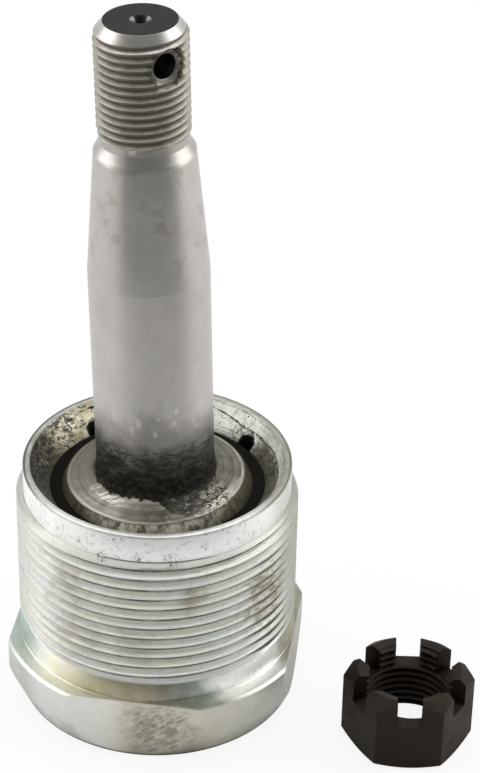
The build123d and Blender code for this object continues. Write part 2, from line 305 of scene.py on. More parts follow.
# %% Cutting one thread
def cut_thread(name, crest, depth, pitch, ends, end_radii, slopes, start_step, side=1, steps=STEPS):
    """A threaded band as a plain mesh. Lengths in mm; start_step is how many segments it is turned."""
    holder = link(name, bpy.data.meshes.new(name))
    roll = holder.modifiers.new("roll", "NODES")
    roll.node_group = thread_tree
    sizes = (crest, depth, pitch, *ends, *end_radii)
    values = {key: size * MM for key, size in zip(LENGTHS, sizes)}
    values |= dict(zip(SHARES, (*slopes, start_step / steps, float(side))), Steps=steps)
    for item in thread_tree.interface.items_tree:
        if item.in_out == "INPUT" and item.name in values:
            roll[item.identifier] = values[item.name]
    mesh = evaluated_mesh(holder)
    bpy.data.objects.remove(holder)
    print(name, "faces:", len(mesh.polygons))
    return mesh


def swap_band(piece, thread, low, high, near):
    """Deletes the plain band between two heights and stitches the thread in."""
    bm = bmesh.new()
    bm.from_mesh(piece.data)
    band = [
        f for f in bm.faces
        if all((low - 0.001) * MM < v.co.z < (high + 0.001) * MM for v in f.verts)
        and abs(f.normal.z) < 0.5 and f.calc_center_median().xy.length > near * MM
    ]
    bmesh.ops.delete(bm, geom=band, context="FACES")
    bm.from_mesh(thread)
    close_up(bm)
    open_edges = sum(1 for e in bm.edges if len(e.link_faces) != 2)
    bm.to_mesh(piece.data)
    bm.free()
    print(piece.name, "plain faces out:", len(band), "open edges:", open_edges)


# %% [markdown]
# ## Cutting away
#
# Flats, notches and cross holes are milled or drilled after turning. A Boolean with an exact solver does
# what the mill does, and the cutters are thrown away afterwards.

# %% Cutters
def carve(piece, cutters, operation="DIFFERENCE"):
    """Applies Booleans to a piece and removes the cutters."""
    for cutter in cutters:
        step = piece.modifiers.new("carve", "BOOLEAN")
        step.object, step.operation, step.solver = cutter, operation, "EXACT"
    mesh = evaluated_mesh(piece)
    piece.modifiers.clear()
    piece.data = mesh
    for cutter in cutters:
        bpy.data.objects.remove(cutter)


def moved(made, place):
    """Moves a cutter's mesh by a matrix in mm."""
    move = place.copy()
    move.translation = move.translation * MM
    made.data.transform(move)
    return made


def turned_cutter(name, outline, place, steps=48):
    return moved(turned(name, outline, steps), place)


def block(name, low, high, place):
    """A box cutter between two corners in mm."""
    bm = bmesh.new()
    bmesh.ops.create_cube(bm, size=1)
    for v in bm.verts:
        v.co = Vector(((low[k] + high[k]) / 2 + v.co[k] * (high[k] - low[k])) * MM for k in range(3))
    return moved(to_mesh(bm, name), place)


def spin(degrees, axis="Z"):
    return Matrix.Rotation(math.radians(degrees), 4, axis)


def smooth(piece, degrees=32):
    """Smooth shading, broken at the sharp edges."""
    piece.data.polygons.foreach_set("use_smooth", [True] * len(piece.data.polygons))
    piece.data.set_sharp_from_angle(angle=math.radians(degrees))
    piece.data.update()


print("cutters ready")

# %% [markdown]
# ## The housing
#
# One steel turning: a wrench flange with four flats, a coarse two-inch thread, and a mouth whose lip
# holds the ball in. It is turned as one closed outline, milled, and then the plain band between the
# flange and the mouth is swapped for the threaded band.

# %% Housing blank
THREAD_LOW, THREAD_HIGH = 15.9, 42.3
FOOT = [(25.1, 0.0), (25.5, 0.4), (28.3, 6.8), (28.3, 12.05), (27.85, 12.5), (25.6, 12.5), (25.45, 12.65),
        (25.45, 13.5), (24.4, THREAD_LOW)]
MOUTH = [(24.1, THREAD_HIGH), (24.1, 47.3), (24.0, 47.5), (23.8, 47.6), (23.05, 47.6), (22.85, 47.5), (21.7, 45.3),
         (19.45, 42.95), (19.309, 42.75), (19.309, 40.8)]
BORE = [(21.6, 40.8), (21.6, 5.8), (23.0, 5.8), (23.0, 0.0)]
housing = turned("turned_housing", FOOT + MOUTH + BORE, loop=True)
FLAT_REACH, FLAT_TURN = 25.6, -10
NOTCH_REACH, NOTCH_TURN, NOTCH_RADIUS = 19.709, 35, 1.6
LOCK_REACH, LOCK_RADIUS, LOCK_DEPTH = 23, 2, 5.8
flats = [block("flat", (FLAT_REACH, -30, -1), (40, 30, 12.52), spin(FLAT_TURN + 90 * k)) for k in range(4)]
notch = [(0, 41.4), (NOTCH_RADIUS, 40.2), (NOTCH_RADIUS, 49), (0, 49)]
lock_hole = [(0, -1), (LOCK_RADIUS, -1), (LOCK_RADIUS, LOCK_DEPTH), (0, LOCK_DEPTH)]
holes = [
    turned_cutter(name, outline, spin(NOTCH_TURN + 360 / count * k) @ Matrix.Translation((away, 0, 0)))
    for name, outline, count, away in (("notch", notch, 4, NOTCH_REACH), ("lock_hole", lock_hole, 2, LOCK_REACH))
    for k in range(count)
]
carve(housing, flats + holes)
print("housing after milling:", len(housing.data.polygons), "faces")

# %% Housing thread
BODY_PITCH = 2.1167
body_thread = cut_thread(
    "body_thread", 25.4, 1.3, BODY_PITCH, (THREAD_LOW, THREAD_HIGH), (24.4, 24.1), (1.0, 1.3), 72)
swap_band(housing, body_thread, THREAD_LOW, THREAD_HIGH, 23.5)
smooth(housing)

# %% [markdown]
# ## The ball stud
#
# Forged in one piece and ground. The ball fits the races, the shank ends in a taper of 1 in 6 that
# wedges into the steering knuckle, and the end is threaded for the castle nut. The drilled cotter hole
# breaks through the thread, so it is cut after the thread is on.

# %% Stud blank
BALL_CENTRE, BALL_RADIUS = 34.3, 19.05
BALL_LOW, BALL_HIGH = 17.3, 44.6
LEAN = 1.6
STUD_MAJOR, STUD_DEPTH, STUD_PITCH = 7.9375, 0.866, 25.4 / 18
STUD_ENDS, STUD_END_RADII = (113.2, 133.2), (7.5975, 6.2975)


def ball_arc(low, high, count):
    """Outline of the ball between two heights, evenly spaced in angle."""
    a, b = (math.asin((h - BALL_CENTRE) / BALL_RADIUS) for h in (low, high))
    angles = [a + (b - a) * i / count for i in range(count + 1)]
    return [(BALL_RADIUS * math.cos(t), BALL_CENTRE + BALL_RADIUS * math.sin(t)) for t in angles]


BALL_TOP = [(15.85, 44.67), (15.66, 44.72), (15.3, 44.76), (11.9, 45.9), (11.35, 46.15), (10.95, 46.5),
            (10.66, 47.0), (10.55, 47.6)]
TAPER = [(10.55, 87.0), (10.53, 87.4), (8.72, 109.2), (8.65, 110.0), (8.5, 110.25), (7.62, 111.75), (7.5975, 111.9),
         (7.5975, 113.2)]
STUD_END = [(6.2975, 133.2), (1.75, 133.2), (1.7, 133.15), (0.65, 131.33), (0.65, 130.3), (0, 129.9)]
stud = turned("ground_stud", [(0, BALL_LOW)] + ball_arc(BALL_LOW, BALL_HIGH, 40) + BALL_TOP + TAPER + STUD_END)
stud_thread = cut_thread(
    "stud_thread", STUD_MAJOR, STUD_DEPTH, STUD_PITCH, STUD_ENDS, STUD_END_RADII, (1.0, 0.82), 60)
swap_band(stud, stud_thread, *STUD_ENDS, 6.0)

# %% Cotter hole
HOLE_HEIGHT, HOLE_TURN, HOLE_RADIUS, SINK = 127.3, -55, 2.2, 1.4
DRILL_END = 12
flare = HOLE_RADIUS + SINK + DRILL_END - STUD_MAJOR
drill = [(0, -DRILL_END), (flare, -DRILL_END), (HOLE_RADIUS, SINK - STUD_MAJOR), (HOLE_RADIUS, STUD_MAJOR - SINK),
         (flare, DRILL_END), (0, DRILL_END)]
across_stud = Matrix.Translation((0, 0, HOLE_HEIGHT)) @ spin(HOLE_TURN) @ spin(90, "Y")
carve(stud, [turned_cutter("drill", drill, across_stud, 64)])
centre = Matrix.Translation((0, 0, BALL_CENTRE * MM))
stud.data.transform(centre @ spin(-LEAN, "Y") @ centre.inverted())
smooth(stud)
print("stud faces:", len(stud.data.polygons))

# %% [markdown]
# ## The castle nut
#
# A hexagon bar, chamfered at both ends, tapped, and slotted three times across its crown, so that a
# cotter pin can lock it at every sixth of a turn. The bar's six long edges are slightly rounded by the
# forging die, so the hexagon is rounded before it meets the turned envelope.

# %% Nut
NUT_FLATS, NUT_HEIGHT, NUT_MINOR, NUT_MAJOR = 20.6375, 14.6, 7.25, 7.94
NUT_REACH, NUT_BEARING, NUT_TURN = 49.13, -22.45, -3.3
CROWN_RADIUS, CROWN_CHAMFER = NUT_FLATS / 2 - 0.92, 2.0
BASE_RADIUS, BASE_CHAMFER = NUT_FLATS / 2 - 0.5, 1.0
SLOT_WIDTH, SLOT_DEPTH = 4.5, 5.15
EDGE_ROUND = 0.4


def hex_bar(across, height, rounding):
    """Hexagon bar with rounded long edges, flats facing -Y and +Y."""
    bm = bmesh.new()
    centre = (across / 2 - rounding) * 2 / math.sqrt(3)
    points = []
    for k in range(6):
        middle = math.radians(60 * k)
        for j in range(5):
            swing = middle + math.radians(-30 + 15 * j)
            points.append((centre * math.cos(middle) + rounding * math.cos(swing),
                           centre * math.sin(middle) + rounding * math.sin(swing)))
    low = [bm.verts.new((x * MM, y * MM, -1 * MM)) for x, y in points]
    high = [bm.verts.new((x * MM, y * MM, (height + 1) * MM)) for x, y in points]
    bm.faces.new(low)
    bm.faces.new(high)
    for i in range(len(points)):
        j = (i + 1) % len(points)
        bm.faces.new((low[i], low[j], high[j], high[i]))
    return to_mesh(bm, "forged_nut")


nut = hex_bar(NUT_FLATS, NUT_HEIGHT, EDGE_ROUND)
corner = NUT_FLATS / math.sqrt(3)
envelope = [
    (0, 0), (BASE_RADIUS - 0.1, 0), (BASE_RADIUS + 0.1, 0.08), (corner, BASE_CHAMFER),
    (corner + 1, BASE_CHAMFER + 0.6), (corner + 1, NUT_HEIGHT - CROWN_CHAMFER - 0.8),
    (corner, NUT_HEIGHT - CROWN_CHAMFER), (CROWN_RADIUS + 0.15, NUT_HEIGHT - 0.12),
    (CROWN_RADIUS, NUT_HEIGHT - 0.03), (CROWN_RADIUS - 0.12, NUT_HEIGHT), (0, NUT_HEIGHT)]
carve(nut, [turned_cutter("envelope", envelope, Matrix.Identity(4), 96)], "INTERSECT")
THREAD_IN, MOUTH_IN = NUT_MINOR + 0.75, CROWN_RADIUS - 0.2
TAP_ENDS = (0.2, NUT_HEIGHT - 0.14)
tap_outline = [
    (0, -1), (THREAD_IN + 1.2, -1), (THREAD_IN + 0.2, 0), (THREAD_IN, TAP_ENDS[0]), (MOUTH_IN - 0.3, TAP_ENDS[1]),
    (MOUTH_IN, NUT_HEIGHT), (MOUTH_IN, NUT_HEIGHT + 1), (0, NUT_HEIGHT + 1)]
bm = bmesh.new()
turn(bm, tap_outline, gap=3)
nut_thread = cut_thread(
    "nut_thread", NUT_MINOR, NUT_MAJOR - NUT_MINOR, STUD_PITCH, TAP_ENDS, (THREAD_IN, MOUTH_IN - 0.3), (1.0, 2.3), 0,
    side=-1)
bm.from_mesh(nut_thread)
tap = to_mesh(bm, "tap")
low, high = (-SLOT_WIDTH / 2, -20, NUT_HEIGHT - SLOT_DEPTH), (SLOT_WIDTH / 2, 20, NUT_HEIGHT + 5)
slots = [block("slot", low, high, spin(60 * k)) for k in range(3)]
carve(nut, [tap] + slots)
beside = spin(NUT_BEARING) @ Matrix.Translation((NUT_REACH * MM, 0, 0)) @ spin(NUT_TURN - NUT_BEARING)
nut.data.transform(beside)
smooth(nut)
print("nut faces:", len(nut.data.polygons))

# %% [markdown]
# ## Table and light
#
# The joint is lit as small metal parts are in a studio: a white table, a large soft panel overhead and
# one at each side. Bare metal shows what stands round it: the table and panels at the sides, and the
# unlit room behind the camera, which gives the polished stud its darker middle. That dark side of the
# room is a curved sheet that only reflections see. The table looks white to the camera and in the
# metal, and keeps the object's shadow.

# %% Table
MIRRORED = ("Is Camera Ray", "Is Glossy Ray", "Is Transmission Ray")
TABLE_HEIGHT = -0.2 * MM
SHADOW_SHARE = 0.12
TABLE_GREY = 0.82
# (centre, inner radius, outer radius) of the table that metal close above it mirrors unlit, in metres
MATT_SPOTS = (((0, 0), 0.028, 0.060), ((0.0454, -0.0188), 0.010, 0.030))
DEGREES = 180 / math.pi


def rays(tree, *kinds):
    """1 for rays of any of these kinds."""
    path = tree.nodes.new("ShaderNodeLightPath").outputs
    found = Num(path[kinds[0]])
    for kind in kinds[1:]:
        found = found | path[kind]
    return found


def blank_material(name):
    """An empty node material, its tree and its output."""
    made = bpy.data.materials.new(name)
    made.use_nodes = True
    made.node_tree.nodes.clear()
    return made, made.node_tree, made.node_tree.nodes.new("ShaderNodeOutputMaterial")


def flat_place(tree, zero=0.0, centre=(0, 0)):
    """Distance from a centre on the table, and bearing round it from a zero, of the shaded point."""
    x, y, _ = split(Num(tree.nodes.new("ShaderNodeTexCoord").outputs["Object"]))
    x, y = x - centre[0], y - centre[1]
    ahead = x * math.cos(zero) + y * math.sin(zero)
    aside = y * math.cos(zero) - x * math.sin(zero)
    return calc("SQRT", calc("POWER", x, 2) + calc("POWER", y, 2)), calc("ARCTAN2", aside, ahead)


def two_looks(out, share, first, second):
    """Mixes two shaders by share into a material's output."""
    mixed = feed(share.tree, "ShaderNodeMixShader", {0: share, 1: first, 2: second})
    plug(out.inputs[0], mixed)


def table_top(half):
    """The flat table as a mesh; half is half its side in metres."""
    mesh = bpy.data.meshes.new("table")
    corners = [(x * half, y * half, TABLE_HEIGHT) for x, y in ((-1, -1), (1, -1), (1, 1), (-1, 1))]
    mesh.from_pydata(corners, [], [(0, 1, 2, 3)])
    return mesh


table = link("table", table_top(3))
table_white, tree, out = blank_material("table_white")
matt = feed(tree, "ShaderNodeBsdfDiffuse", {"Color": (TABLE_GREY, TABLE_GREY, TABLE_GREY, 1)})
white = feed(tree, "ShaderNodeEmission", {"Color": (1, 1, 1, 1), "Strength": 1})
clear_of = 1.0
for centre, inner, outer in MATT_SPOTS:
    off_spot = feed(tree, "ShaderNodeMapRange", {0: flat_place(tree, centre=centre)[0], 1: inner, 2: outer})
    clear_of = calc("MINIMUM", clear_of, off_spot)
share = (rays(tree, "Is Camera Ray") | rays(tree, *MIRRORED) * clear_of) * (1 - SHADOW_SHARE)
two_looks(out, share, matt, white)
table.data.materials.append(table_white)

# %% Dark side of the room
# (distance from the axis, height) of the dark sheet that only reflections see, in metres, from the table up behind the
# camera
ROOM_PROFILE = ((0.085, 0.0006), (0.14, 0.0006), (0.22, 0.0006), (0.60, 0.001), (0.78, 0.06), (0.86, 0.35),
                (0.80, 0.75), (0.62, 1.05))
ROOM_BEARING, HALF_WIDTH = -82, 60
ROOM_STEPS = 32


def dark_reflection_sheet():
    """A sector of dark sheet, seen only in reflections as the unlit room, that starts on the table and rises behind
    the camera, as a mesh.
    """
    bm = bmesh.new()
    bearings = [math.radians(ROOM_BEARING + 90 * (2 * i / ROOM_STEPS - 1)) for i in range(ROOM_STEPS + 1)]
    rows = [[bm.verts.new((r * math.cos(a), r * math.sin(a), z)) for a in bearings] for r, z in ROOM_PROFILE]
    for low, high in zip(rows, rows[1:]):
        for i in range(ROOM_STEPS):
            bm.faces.new((low[i], low[i + 1], high[i + 1], high[i]))
    mesh = bpy.data.meshes.new("dark_room")
    bm.to_mesh(mesh)
    bm.free()
    return mesh


room = link("dark_room", dark_reflection_sheet())
dark_reflection_material, tree, out = blank_material("dark_reflection_material")
away, bearing = flat_place(tree, math.radians(ROOM_BEARING))
off = abs(bearing) * DEGREES
far = rise(away, 0.15, 0.22, 0.0, 0.66) * fall(off, HALF_WIDTH - 9, HALF_WIDTH + 9)
near = rise(away, 0.105, 0.13, 0.0, 0.34) * fall(off, 20, 82)
clear = feed(tree, "ShaderNodeBsdfTransparent")
two_looks(out, far | near, clear, feed(tree, "ShaderNodeEmission", {"Color": (0, 0, 0, 1)}))
room.data.materials.append(dark_reflection_material)
for kind in ("camera", "diffuse", "transmission", "shadow", "volume_scatter"):
    setattr(room, "visible_" + kind, False)
print("table and dark side placed")

# %% Lamps
AMBIENT, BACKDROP = 0.55, 0.85
world = bpy.data.worlds.new("studio")
bpy.context.scene.world = world
world.use_nodes = True
tree = world.node_tree
tree.nodes.clear()
mirrored = feed(tree, "ShaderNodeMapRange", {0: rays(tree, *MIRRORED), 3: AMBIENT, 4: BACKDROP})
sky = feed(tree, "ShaderNodeBackground", {0: (1, 1, 1, 1), 1: mirrored | rays(tree, "Is Camera Ray")})
wire(tree, "ShaderNodeOutputWorld", {0: sky})


def soft_panel(name, place, aim, size, watts):
    """A rectangular area lamp at place, turned to face aim; metres."""
    lamp = link(name, bpy.data.lights.new(name, "AREA"))
    lamp.data.shape, lamp.data.energy = "RECTANGLE", watts
    lamp.data.size, lamp.data.size_y = size
    facing = (Vector(aim) - Vector(place)).to_track_quat("-Z", "Y")
    lamp.matrix_world = Matrix.Translation(place) @ facing.to_matrix().to_4x4()


soft_panel("overhead", (0, 0.2, 1.1), (0, 0, 0), (1.6, 1.3), 8)
for name, side in (("left_panel", -1), ("right_panel", 1)):
    soft_panel(name, (0.8 * side, 0.1, 0.35), (0, 0, 0.05), (0.7, 0.8), 3.5)
bpy.context.scene.view_settings.view_transform = "Standard"
print("lamps placed")

# %% [markdown]
# ## Effects that several finishes share
#
# Real metal is never one colour. Each effect here is a small shader group with its own sizes in
# millimetres: where a point lies on a turned piece, soft patches, fine wandering lines, cutting marks,
# and a local spot. Every finish places them with its own values, so they are made once.

# %% Shared effects
def vec(operation, a, b=(0, 0, 0), output=0):
    """One Vector Math node's vector, or its number when output is "Value"."""
    return Num(wire(a.tree, "ShaderNodeVectorMath", {0: a, 1: b}, operation=operation).outputs[output])


def noise(point, scale, detail, **more):
    return feed(point.tree, "ShaderNodeTexNoise", {"Vector": point, "Scale": scale, "Detail": detail} | more)


def effect(name, values, outputs, rule):
    """Makes a shader group from a rule on a point, and returns the function that places it."""
    group = bpy.data.node_groups.new(name, "ShaderNodeTree")
    inputs = {key: ("Vector" if default is None else "Float", default) for key, default in values.items()}
    given = sockets(group, {"Point": ("Vector", None)} | inputs, dict.fromkeys(outputs, "Float"))
    wire(group, "NodeGroupOutput", dict(zip(outputs, rule(*given.values()))))

    def place(*given):
        node = wire(given[0].tree, "ShaderNodeGroup", dict(enumerate(given)), node_tree=group)
        made = [Num(socket) for socket in node.outputs]
        return made if len(made) > 1 else made[0]
    return place


def place_rule(point):
    x, y, height = split(point)
    flat = feed(point.tree, "ShaderNodeCombineXYZ", {0: x, 1: y, 2: 0.0})
    return vec("LENGTH", flat, output="Value"), height, calc("ARCTAN2", y, x) * DEGREES


def patch_rule(point, size, fine, level, softness):
    return [rise(noise(point, 1 / size, fine, Roughness=0.6), level - softness, level + softness)]


def line_rule(point, size, width, level):
    scale, soft = 1 / size, 0.04
    off = abs(noise(point, scale, 2.0, Roughness=0.55, Distortion=0.4) - 0.5)
    return [(1 - rise(off, 0.0, width)) * rise(noise(point, scale * 0.6, 2.0), level - soft, level + soft)]


def mark_rule(point, along, spacing, wander):
    swayed = along + noise(point, 0.15, 1.0) * wander
    inputs = {"W": swayed / spacing, "Scale": 1.0, "Detail": 3.0}
    return [feed(point.tree, "ShaderNodeTexNoise", inputs, noise_dimensions="1D")]


def spot_rule(point, centre, reach):
    far = vec("DISTANCE", point, centre, "Value") / reach + (noise(point, 0.45, 4.0) - 0.5) * 1.1
    return [1 - rise(far, 0.35, 1.0)]


place_on = effect("place_on_turning", {}, ("Radius", "Height", "Bearing"), place_rule)
patches = effect("soft_patches", {"Size": 5.0, "Fine": 3.0, "Level": 0.5, "Softness": 0.1}, ("Mask",), patch_rule)
lines = effect("wandering_lines", {"Size": 3.0, "Width": 0.02, "Level": 0.5}, ("Mask",), line_rule)
marks = effect("cutting_marks", {"Along": 0.0, "Spacing": 0.2, "Wander": 0.1}, ("Mark",), mark_rule)
spot = effect("spot", {"Centre": None, "Reach": 5.0}, ("Mask",), spot_rule)
print("shared effects:", [group.name for group in bpy.data.node_groups if group.type == "SHADER"])

# %% Colour and relief
def mix(share, a, b, blend="MIX"):
    """Colour a, mixed with colour b by share."""
    node = wire(home(share, a, b), "ShaderNodeMix", data_type="RGBA", blend_type=blend)
    for key, value in ((0, share), (6, a), (7, b)):
        plug(node.inputs[key], (*value, 1) if isinstance(value, (tuple, list)) else value)
    return Num(node.outputs[2])


class Paint:
    """A colour that is painted over, layer by layer."""

    def __init__(self, colour):
        self.colour = colour

    def __call__(self, share, hue, blend="MIX"):
        self.colour = mix(share, self.colour, hue, blend)


def ramp(value, stops):
    """The colour at value on a ramp of (position, colour) stops."""
    node = wire(value.tree, "ShaderNodeValToRGB", {0: value})
    made = node.color_ramp.elements
    for stop, (position, colour) in ((made[0], stops[0]), (made[1], stops[-1])):
        stop.position, stop.color = position, (*colour, 1)
    for position, colour in stops[1:-1]:
        made.new(position).color = (*colour, 1)
    return Num(node.outputs[0])


def stretch(point, scale, rotation=(0, 0, 0)):
    """The point in a space stretched by scale, so that patches grow that much longer."""
    inputs = {"Vector": point, "Rotation": rotation, "Scale": scale}
    return feed(point.tree, "ShaderNodeMapping", inputs, vector_type="TEXTURE")


def finish_material(name):
    """A material, its Principled shader, and its point on the piece in mm."""
    made, tree, out = blank_material(name)
    shader = wire(tree, "ShaderNodeBsdfPrincipled")
    plug(out.inputs[0], shader.outputs[0])
    inputs = {0: tree.nodes.new("ShaderNodeTexCoord").outputs["Object"], "Scale": 1 / MM}
    return made, shader, feed(tree, "ShaderNodeVectorMath", inputs, operation="SCALE")


def set_shader(shader, **values):
    """Feeds the shader's sockets. Base_Color means the socket "Base Color"."""
    for name, value in values.items():
        plug(shader.inputs[name.replace("_", " ")], value)


def relief(shader, *layers):
    """Chains Bump nodes: each layer is (height, distance in mm, strength)."""
    before = {}
    for height, distance, strength in layers:
        inputs = {"Height": height, "Distance": distance * MM, "Strength": strength}
        before = {"Normal": feed(shader.id_data, "ShaderNodeBump", inputs | before)}
    plug(shader.inputs["Normal"], before["Normal"])


print("finish helpers ready")

# %% [markdown]
# ## Bright zinc plate on the housing
#
# Zinc plate with a clear passivate is pale silver, with yellow and green-blue tints where the film is
# thicker, as in the neck under the thread. Handling and old grease leave tan stains in the thread, grey
# specks on the collar, scuffs on the wrench flat, and a mottled film with dark cracks inside the mouth.
# One material with masks in radius, height and bearing keeps these on one piece of metal. The same masks also paint
# shade and light: in the thread roots and under the collar, on the right side, round the neck, inside the mouth and
# notches, on the front-left flat and along the foot.

# %% Zinc plate
zinc, shader, point = finish_material("zinc_plate")
radius, height, bearing = place_on(point)

mottle = patches(point, 9, 4, 0.5, 0.2)
grain = patches(point, 0.7, 2, 0.5, 0.3)
streaks = marks(point, height + radius, 0.3, 0.3)
paint = Paint(mix(mottle, (0.62, 0.635, 0.605), (0.74, 0.752, 0.72)))
paint(grain * 0.18, (0.42, 0.42, 0.38))
paint(rise(streaks, 0.35, 0.7) * 0.16, (0.46, 0.47, 0.45))

# the passivate film round the neck and seat, set by bearing: partly the film's own olive, brown and faint colours,
# partly a painted highlight (silver) and painted shade (brown)
film = noise(point, 1 / 9, 3)
TEAL, STRAW, OLIVE, BROWN = (0.38, 0.46, 0.41), (0.9, 0.86, 0.68), (0.44, 0.395, 0.22), (0.225, 0.19, 0.1)
SILVER_HIGHLIGHT = (0.98, 1, 0.97)
around = film * 0.16 + (bearing * (1 / 180) + 0.92)
FILM_TINTS_AND_SHADING = (
    (0.1, TEAL), (0.17, (0.8, 0.84, 0.77)), (0.25, STRAW), (0.35, OLIVE), (0.46, BROWN), (0.54, (0.165, 0.17, 0.12)),
    (0.61, (0.26, 0.32, 0.28)), (0.65, SILVER_HIGHLIGHT), (0.8, SILVER_HIGHLIGHT), (0.86, (0.24, 0.22, 0.13)), (0.92, BROWN))
neck = between(height, 12.45, 15.6, 0.35) * hump(radius, 23.6, 24, 26, 26.4)
flange = fall(height, 12.3, 12.8) * rise(radius, 24.9, 25.1)
seat = between(height, 12.3, 12.8, 0.2) * rise(radius, 25.6, 25.9)
thin = patches(point, 2.5, 5, 0.5, 0.2)
veil = thin * 0.2 + 0.72
# film colours with a painted highlight and painted shade round the neck
tint = mix(rise(bearing, 100, 165), ramp(around, FILM_TINTS_AND_SHADING), TEAL)
paint(neck * veil | seat * veil | 0.04, tint)
# the flange is toned darker all round, and painted shade makes its right side and back darker still
shaded_flange_side = hump(bearing, -42, -12, 60, 150)
paint(flange * (shaded_flange_side * 0.45 + 0.2), (0.3, 0.3, 0.23))

# thread: dirt and painted shade in the roots, with painted light on the flanks, and tan stains here and there
thread_zone = between(height, THREAD_LOW + 0.3, THREAD_HIGH - 0.3, 0.4) * rise(radius, 23.7, 23.9)
# painted light: the flanks are lighter toward the roots, and the crests darker
lit_flank = fall(radius, 24.25, 25.35)
paint(thread_zone * 0.75, mix(lit_flank, (0.66, 0.665, 0.62), (0.96, 0.97, 0.915)))
helix = bearing * (-BODY_PITCH / 360) + height
dragged = stretch(point, (2.6, 2.6, 0.5))   # patches that follow the thread round
rubbed = patches(dragged, 2.6, 5, 0.5, 0.16)
cutting = marks(point, helix, 0.17, 0.1)
cutting = rise(cutting, 0.47, 0.6) * (rubbed * 0.5 + 0.3) * thread_zone
paint(cutting * 0.62, (0.33, 0.33, 0.29))
SHEENS = ((3.4, 0.53, (0.74, 0.86, 0.72)), (4.3, 0.54, (0.84, 0.74, 0.56)), (5.2, 0.55, (0.74, 0.76, 0.92)))
for size, level, hue in SHEENS:
    sheen = patches(dragged, size, 3, level, 0.09)
    paint(sheen * (thread_zone | seat * 0.6) * 0.16, hue)
dashes = patches(stretch(point, (3, 3, 0.3)), 0.9, 4, 0.62, 0.04)
paint(dashes * thread_zone * 0.22, (0.16, 0.15, 0.11))
lead_in = between(height, 41.35, 42.2, 0.12) * rise(radius, 24.1, 24.2)
paint(lead_in * 0.6, (0.34, 0.35, 0.31))
worn = patches(point, 5, 5, 0.47, 0.14)
# painted shade: the root lines are thicker and darker on the right side, most low down
thick = rise(worn * 6 + height, 20, 38, 1, 0.75) * rise(height, 36.5, 39.5, 1, 0.15)
thick = hump(bearing, -54, -34, 60, 150) * thick
root = fall(thick * -0.62 + radius, 24.13, 24.32) * thread_zone
root_dirt_and_shade = root * ((worn | thick) * 0.45 + 0.5)
paint(root_dirt_and_shade, mix(thick, (0.12, 0.115, 0.1), (0.06, 0.05, 0.03)))
STAINS = (((6.5, -24.3, 34.2), 3.6, 0.8), ((-15.5, -19.6, 34.5), 5, 0.6), ((19.5, -16, 29.4), 7, 0.8),
    ((22.5, -11, 33.1), 5, 0.5), ((-14.5, -20.5, 24.2), 7, 0.42), ((-4, -25, 24.5), 5, 0.35),
    ((-17, -18, 30), 5, 0.3), ((24, 8, 28), 8, 0.5), ((-14, 21, 30), 9, 0.5))
speckle = patches(dragged, 1.2, 6, 0.5, 0.18)
stain = 0.0
for centre, reach, share in STAINS:
    stain = stain | spot(point, centre, reach) * share
stain = stain * (speckle * 0.8 + 0.15) * rise(radius, 23.6, 24)
paint(stain, (0.36, 0.31, 0.2))
rust = patches(dragged, 0.7, 4, 0.53, 0.06)
rust = rust * spot(point, (19.5, -16, 29), 9) * thread_zone
paint(rust * 0.55, (0.14, 0.115, 0.065))

# the plain collar is the brightest band, and it is finely pitted
collar = rise(height, THREAD_HIGH, THREAD_HIGH + 0.1) * rise(radius, 22.9, 23.1)
paint(collar * 0.7, (0.99, 1, 0.975))
pits = patches(point, 0.9, 6, 0.6, 0.05)
paint(pits * (collar * 0.45 | 0.2), (0.34, 0.34, 0.3))

# the rim is painted duller than the collar, most at the sides and back, and its outer corner there has a dark
# grey-green line
rim = rise(height, 46.9, 47.2) * rise(radius, 22.75, 22.85)
at_side = fall(bearing, -170, -130) | rise(bearing, -55, -25)
paint(rim * (at_side * 0.45 + 0.36) * (thin * 0.35 + 0.8), (0.25, 0.255, 0.22))
at_back = fall(abs(calc("WRAP", bearing, 270, -90) - 90), 88, 112)
corner_line = rise(height, 47.15, 47.3) * rise(at_back * 0.32 + radius, 23.8, 23.92) * (at_side | at_back)
paint(corner_line * 0.8, (0.06, 0.063, 0.047))

# specks on the collar
SPECKS = (((-7.3, -23, 46.1), 1), ((-6.2, -23.3, 46.6), 1.1), ((-3.3, -23.9, 43), 1.2), ((8.2, -22.7, 44.6), 1.1),
          ((-13.7, -19.9, 44.1), 0.9), ((2.5, -24, 42.5), 2), ((-9.6, -22.2, 42.4), 1.6))
speck_zone = 0.0
for centre, reach in SPECKS:
    speck_zone = speck_zone | spot(point, centre, reach)
specks = speck_zone * patches(point, 0.36, 3, 0.56, 0.1) * rise(radius, 23, 23.5)
paint(specks * 0.85, (0.06, 0.055, 0.045))

# painted shade: a dark line in the corner under the collar, at the front
collar_corner_shade = between(height, 42.22, 42.36, 0.05) * hump(bearing, -118, -108, -72, -62)
paint(collar_corner_shade * 0.75, (0.05, 0.05, 0.035))

# scuffed wrench flat
scuff_zone = spot(point, (0.5, -25.5, 7), 8.5) | spot(point, (-16.3, -21.5, 3.7), 3.5) * 0.8
scuff_zone = scuff_zone * fall(height, 11.9, 12.2)
slant = stretch(point, (1.5, 1, 0.7), (0, math.radians(-32), 0))
strokes = patches(slant, 1.3, 8, 0.5, 0.1)
scuffs = scuff_zone * strokes
paint(scuffs * 0.75, (0.27, 0.235, 0.165))
x, _, z = split(point)
across = x * -0.62 + z * 0.78
scratches = rise(marks(point, across, 0.2, 1.3), 0.56, 0.66)
scratches = scratches * (scuff_zone | 0.2) * flange
paint(scratches * 0.75, (0.16, 0.15, 0.1))
nicks = scuff_zone * lines(slant, 1.1, 0.03, 0.5)
paint(nicks * 0.6, (0.09, 0.08, 0.055))
